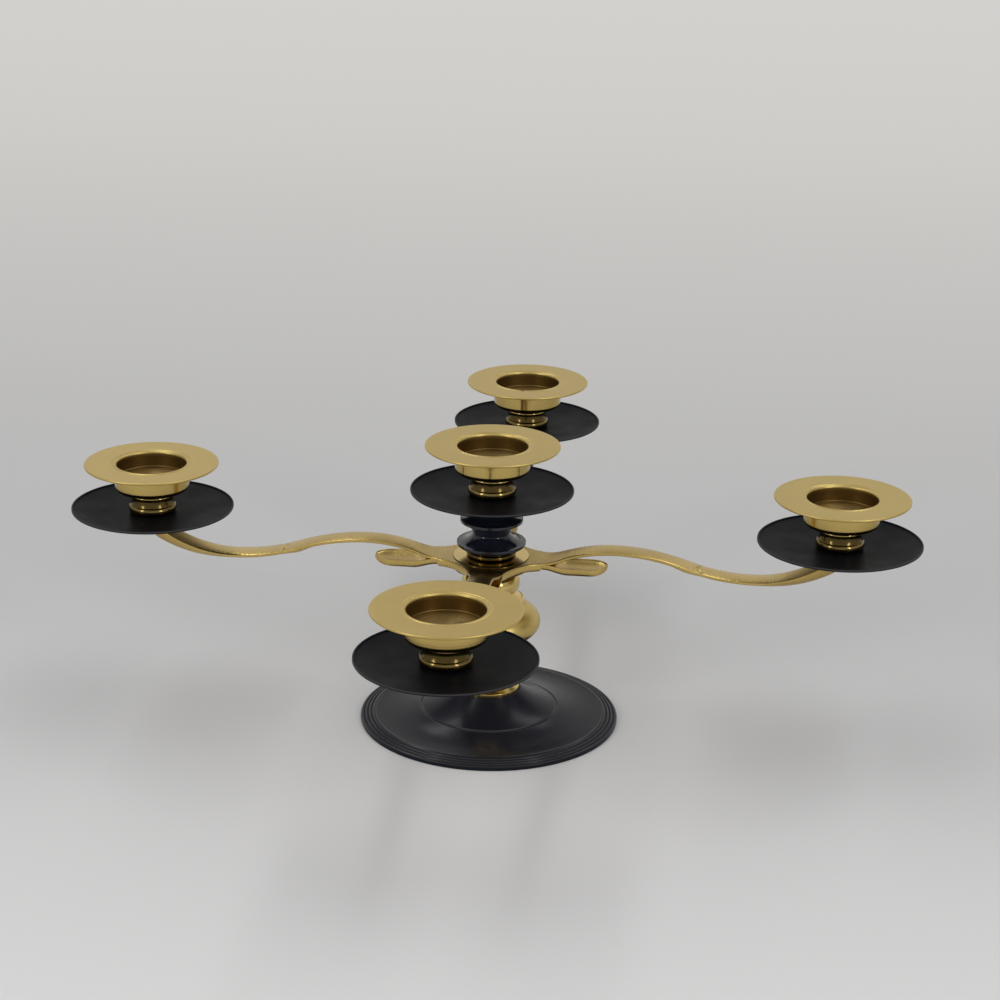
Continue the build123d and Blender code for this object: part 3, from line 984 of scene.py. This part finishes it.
@dataclass
class Studio:
    """Pale sweep, soft lamps and the camera, in metres."""

    grey: Triple = (0.63, 0.625, 0.625)
    pale: Triple = (0.86, 0.852, 0.85)
    painted_light_range: Pair = (0.2, -0.35)
    far_low: Triple = (0.51, 0.505, 0.495)
    far_high: Triple = (0.65, 0.64, 0.615)
    far_range: Pair = (0.6, 2.1)
    blend_range: Pair = (0.35, 0.75)
    fade_range: Pair = (1.6, 2.4)
    fade_least: float = 0.25
    bend_radius: float = 0.9
    bend_start: float = 1.6
    wall_top: float = 4.0
    strip_size: Pair = (0.3, 3.2)
    strip_watts: float = 10.5
    panel_size: Pair = (0.22, 0.8)
    panel_watts: float = 4.0
    panel_aim: Triple = (0.0, 0.0, 0.12)
    surround: float = 0.58
    eye: Triple = (0.1466, -1.3234, 0.6031)
    look: Triple = (-0.1006, 0.9375, -0.3331)
    roll: float = 0.918
    lens: float = 89.3
    shift_y: float = 0.0027

    def sweep(self) -> None:
        """Floor that curves up into a backdrop: a level run, a quarter round and a wall, carried sideways."""
        bend = corner((self.bend_start, self.bend_radius), self.bend_radius, -pi / 2, 0, 24)
        profile = joined([(-4.0, 0.0)], bend, [(self.bend_start + self.bend_radius, self.wall_top)])
        across = np.linspace(-5, 5, 3)
        points = np.stack([across[None, :] + 0 * profile[:, :1], profile[:, :1] + 0 * across,
                           profile[:, 1:] + 0 * across], axis=-1)
        rows, columns = points.shape[:2]
        index = np.arange(rows * columns).reshape(rows, columns)
        quads = np.stack([index[:-1, :-1], index[:-1, 1:], index[1:, 1:], index[1:, :-1]], axis=-1).reshape(-1, 4)
        mesh = bpy.data.meshes.new("sweep")
        mesh.from_pydata(points.reshape(-1, 3).tolist(), [], quads.tolist())
        mesh.polygons.foreach_set("use_smooth", np.ones(len(mesh.polygons), bool))
        mesh.materials.append(self.sweep_finish())
        floor = bpy.data.objects.new("sweep", mesh)
        bpy.context.scene.collection.objects.link(floor)

    def sweep_finish(self) -> Material:
        """Matt grey floor, painted paler near the camera as painted light, that shades into an even pale tone on the
        far wall.

        The even tone shows to camera, glossy and transmission rays, and fades high on the wall.

        Returns:
            The sweep's material.
        """
        material, desk, shader = blank_material("sweep_grey")
        shader.inputs["Roughness"].default_value = 0.8
        axes = desk.add("SeparateXYZ", {0: desk.add("TexCoord").outputs["Object"]})
        depth, height = axes.outputs["Y"], axes.outputs["Z"]
        # Painted light: the floor's colour pales towards the camera.
        desk.feed(shader, {"Base Color": desk.mix(desk.span(depth, self.painted_light_range), self.grey, self.pale)})
        tone = desk.mix(desk.span(depth, self.far_range), self.far_low, self.far_high)
        fade = desk.span(height, self.fade_range, (1.0, self.fade_least))
        glow = desk.add("Emission", {"Color": tone, "Strength": fade})
        rays = desk.add("LightPath").outputs
        seen = desk.math("ADD", rays["Is Camera Ray"], rays["Is Glossy Ray"])
        seen = desk.math("ADD", seen, rays["Is Transmission Ray"], clamp=True)
        factor = desk.math("MULTIPLY", seen, desk.span(depth, self.blend_range, kind="SMOOTHSTEP"))
        blend = desk.add("MixShader", {0: factor, 1: shader.outputs["BSDF"], 2: glow.outputs["Emission"]})
        desk.feed(material.node_tree.nodes["Material Output"], {"Surface": blend.outputs["Shader"]})
        return material

    @staticmethod
    def lamp(name: str, place: Triple, aim: Triple, size: Pair, watts: float) -> None:
        """Soft rectangular lamp.

        Args:
            name: name of the lamp.
            place: where it hangs.
            aim: the point it faces.
            size: width and length of its panel.
            watts: its power.
        """
        data = bpy.data.lights.new(name, "AREA")
        data.shape = "RECTANGLE"
        data.energy, data.size, data.size_y = watts, *size
        lamp = bpy.data.objects.new(name, data)
        lamp.location = place
        lamp.rotation_euler = (Vector(aim) - Vector(place)).to_track_quat("-Z", "Y").to_euler()
        bpy.context.scene.collection.objects.link(lamp)

    def lights(self) -> None:
        """Two long strips overhead, a tall soft panel to each side of the camera, and an even pale surround."""
        for name, x, y in (("left_strip", -0.85, 0.85), ("right_strip", 0.72, 0.85)):
            self.lamp(name, (x, y, 2.1), (x, y, 0), self.strip_size, self.strip_watts)
        for name, x, y in (("left_panel", -1.3, -1.25), ("right_panel", 1.35, -1.15)):
            self.lamp(name, (x, y, 0.95), self.panel_aim, self.panel_size, self.panel_watts)
        world = bpy.data.worlds.new("surround")
        bpy.context.scene.world = world
        world.use_nodes = True
        background = world.node_tree.nodes["Background"]
        background.inputs["Color"].default_value = (0.8, 0.8, 0.8, 1)
        background.inputs["Strength"].default_value = self.surround

    def camera(self) -> None:
        """Camera at the photograph's angle, with its slight roll."""
        data = bpy.data.cameras.new("view")
        data.lens, data.shift_y = self.lens, self.shift_y
        camera = bpy.data.objects.new("view", data)
        aim = Vector(self.look).to_track_quat("-Z", "Y").to_matrix().to_4x4()
        camera.matrix_world = Matrix.Translation(self.eye) @ aim @ Matrix.Rotation(radians(self.roll), 4, "Z")
        bpy.context.scene.collection.objects.link(camera)
        bpy.context.scene.camera = camera


def dress_hidden(steel: Material) -> None:
    """Gives the rod, studs, washer and nut their steel finish.

    Args:
        steel: that finish.
    """
    for name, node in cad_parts.items():
        if name.startswith("stud_") or name in HIDDEN_NODES:
            node.data.materials.clear()
            node.data.materials.append(steel)
            LOG.info("%s in steel", name)


def main() -> None:
    """Builds the finishes, the sub-assemblies and the studio in order."""
    logging.basicConfig(level=logging.INFO)
    bpy.context.scene.view_settings.view_transform = "Standard"
    book = NodeBook()
    satin = MetalFinish("satin_brass", Sheen.BRUSHED, (0.63, 0.47, 0.155), (0.12, 0.065, 0.024), 3.0,
                        0.05).build(book)
    polished = MetalFinish("polished_brass", Sheen.POLISHED, (0.72, 0.53, 0.19), (0.12, 0.085, 0.028), 2.0,
                           0.2).build(book)
    cast = MetalFinish("cast_brass", Sheen.CAST, (0.63, 0.46, 0.155), (0.2, 0.12, 0.035), 1.2, 0.2, 1.2).build(book)
    steel = MetalFinish("plain_steel", Sheen.PLAIN, (0.55, 0.55, 0.56), (0.25, 0.23, 0.2), 2.0, 0.4).build(book)
    matt = PaintFinish("matt_black", Sheen.MATT, (0.007, 0.008, 0.011), 0.002, 0.06).build(book)
    paint = PaintFinish("satin_black", Sheen.SATIN, (0.010, 0.011, 0.018), 0.003, 0.13).build(book)
    gloss = PaintFinish("gloss_black", Sheen.GLOSS, (0.010, 0.012, 0.022), 0.001, 0.5).build(book)
    stand = Stand()
    stand.base(paint)
    stand.column(polished, satin)
    stand.hub(polished, cast)
    stand.spool(gloss)
    lights = [Light("centre", (0.0, 0.0, stand.levels["pan"]), "light_centre", "stand", pin_radius=4.0)]
    for side, turn in SIDES.items():
        arm = BranchArm(side, turn)
        arm.strap(cast)
        arm.leaf(cast)
        arm.post(cast)
        stain = 1.0 if side == STAINED_SIDE else 0.0
        lights.append(Light(side, arm.end, f"light_{side}", "branches", pin_radius=3.0, stain=stain))
    for light in lights:
        light.pan(matt)
        light.stem(polished)
        light.cup(satin)
    dress_hidden(steel)
    studio = Studio()
    studio.sweep()
    studio.lights()
    studio.camera()


if __name__ == "__main__":
    main()
